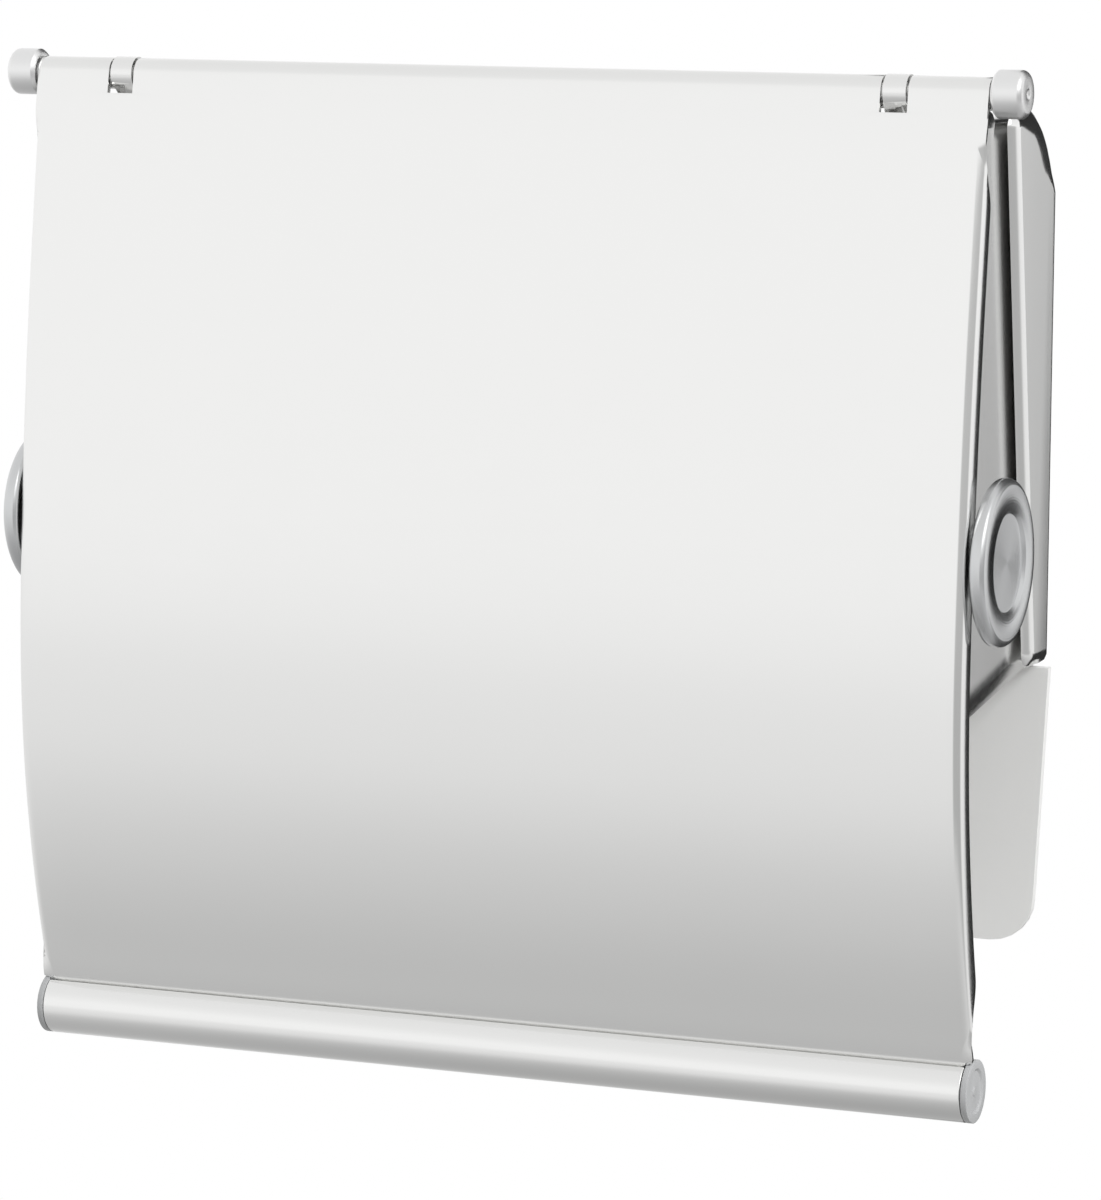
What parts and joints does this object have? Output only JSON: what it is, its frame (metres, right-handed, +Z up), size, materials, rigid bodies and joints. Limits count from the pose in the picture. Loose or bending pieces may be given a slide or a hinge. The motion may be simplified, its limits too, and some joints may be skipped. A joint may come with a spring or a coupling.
{
  "type": "toilet roll holder",
  "caption": "Wall-mounted toilet roll holder: steel wall tray, roll bracket with two ears, lift-out spindle with turning roller, and a curved cover hinged along its top edge.",
  "frame": {"origin": "middle of the wall plate's flat back face, which lies on the wall", "axes": "+Y into the wall, +Z up, +X to the right for someone facing the holder"},
  "size_m": [0.1388, 0.0651, 0.131],
  "materials": {
    "polished_steel": "polished",
    "satin_steel": "satin",
    "zinc_steel": "zinc plated",
    "grey_nylon": "matte",
    "black_rubber": "matte"
  },
  "bodies": {
    "bracket": {"wall_bracket": "satin_steel", "roll_bracket": "satin_steel", "wall_screw_upper_left": "zinc_steel", "wall_screw_upper_right": "zinc_steel", "wall_screw_lower_left": "zinc_steel", "wall_screw_lower_right": "zinc_steel", "hinge_rod": "polished_steel", "hinge_knob_left": "polished_steel", "hinge_knob_right": "polished_steel"},
    "cover": {"cover_sheet": "polished_steel", "grip_bead": "polished_steel", "bead_cap_left": "grey_nylon", "bead_cap_right": "grey_nylon", "cover_buffer_left": "black_rubber", "cover_buffer_right": "black_rubber"},
    "spindle": {"spindle_rod": "polished_steel", "spindle_knob_left": "polished_steel", "spindle_knob_right": "polished_steel"},
    "roller": {"roller_tube": "satin_steel", "roller_bush_left": "grey_nylon", "roller_bush_right": "grey_nylon"}
  },
  "joints": [
    {"name": "cover_hinge", "type": "hinge", "parent": "bracket", "child": "cover", "pos_m": [0, -0.056, 0.0658], "axis": [-1, 0, 0], "range_deg": [0, 204]},
    {"name": "spindle_lift", "type": "slide", "parent": "bracket", "child": "spindle", "axis": [0, 0, 1], "range_m": [0, 0.01]},
    {"name": "roller_spin", "type": "hinge", "parent": "spindle", "child": "roller", "pos_m": [0, -0.054, 0.00815], "axis": [1, 0, 0], "continuous": true}
  ]
}
